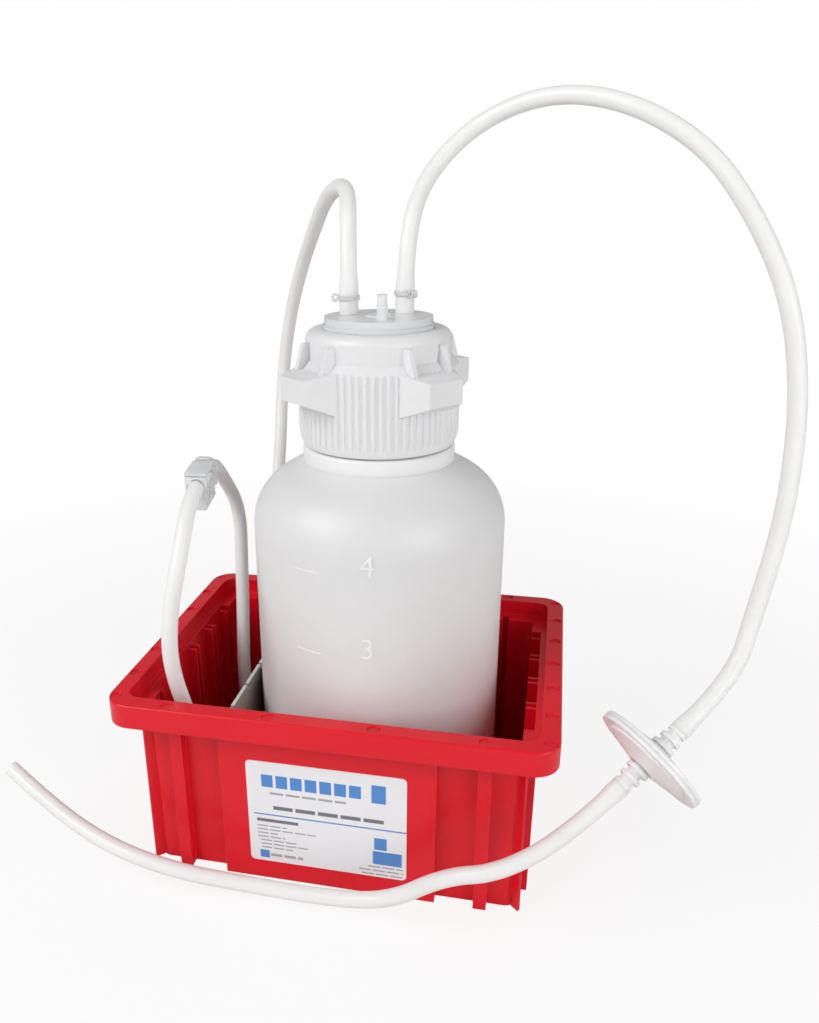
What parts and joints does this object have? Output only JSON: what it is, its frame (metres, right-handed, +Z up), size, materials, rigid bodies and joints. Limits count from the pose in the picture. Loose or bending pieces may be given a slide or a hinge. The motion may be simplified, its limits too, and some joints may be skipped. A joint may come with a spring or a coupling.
{
  "type": "vacuum trap",
  "caption": "Vacuum trap: screw-top bottle with hose ports in a red dividable bin, parked inlet hose with pinch clamp, and a vacuum hose with a disc filter.",
  "frame": {"origin": "middle of the bin's underside", "axes": "+X along the bin's long side, -Y is the labelled front, +Z up"},
  "size_m": [0.4807, 0.321, 0.472],
  "materials": {
    "red_bin": "moulded, slightly glossy",
    "label_film": "satin film",
    "divider_sheet": "matte",
    "natural_bottle": "milky, translucent",
    "white_cap": "satin",
    "clear_insert": "clear, glossy",
    "gasket_rubber": "matte",
    "hose": "milky, translucent, satin",
    "tie_nylon": "translucent",
    "filter_shell": "satin, translucent",
    "membrane": "matte, porous",
    "clamp_plastic": "translucent"
  },
  "bodies": {
    "bin": {"bin": "red_bin", "front_label": "label_film"},
    "divider": {"divider": "divider_sheet"},
    "bottle": {"bottle": "natural_bottle"},
    "insert": {"port_insert": "clear_insert", "cap_gasket": "gasket_rubber", "inlet_tube_tie": "tie_nylon", "vacuum_tube_tie": "tie_nylon", "inlet_tube": "hose", "vacuum_tube_upper": "hose", "vacuum_tube_lower": "hose", "filter_inlet_shell": "filter_shell", "filter_outlet_shell": "filter_shell", "filter_membrane": "membrane", "clamp_frame": "clamp_plastic"},
    "collar": {"cap_collar": "white_cap"},
    "clamp_arm": {"clamp_arm": "clamp_plastic"}
  },
  "joints": [
    {"name": "divider_lift", "type": "slide", "parent": "bin", "child": "divider", "axis": [0, 0, 1], "range_m": [0, 0.115]},
    {"name": "bottle_lift", "type": "slide", "parent": "bin", "child": "bottle", "axis": [0, 0, 1], "range_m": [0, 0.14]},
    {"name": "closure_rise", "type": "slide", "parent": "bottle", "child": "insert", "axis": [0, 0, 1], "range_m": [0, 0.0127]},
    {"name": "collar_turn", "type": "hinge", "parent": "insert", "child": "collar", "pos_m": [0.016, 0, 0.3], "axis": [0, 0, 1], "range_deg": [0, 720]},
    {"name": "clamp_open", "type": "hinge", "parent": "insert", "child": "clamp_arm", "pos_m": [-0.09797, -0.02469, 0.25103], "axis": [0.9928, 0.1198, 0], "range_deg": [0, 25]}
  ],
  "couplings": [
    {"joint": "closure_rise", "follows": "collar_turn", "m_per_rad": 0.0010106}
  ]
}
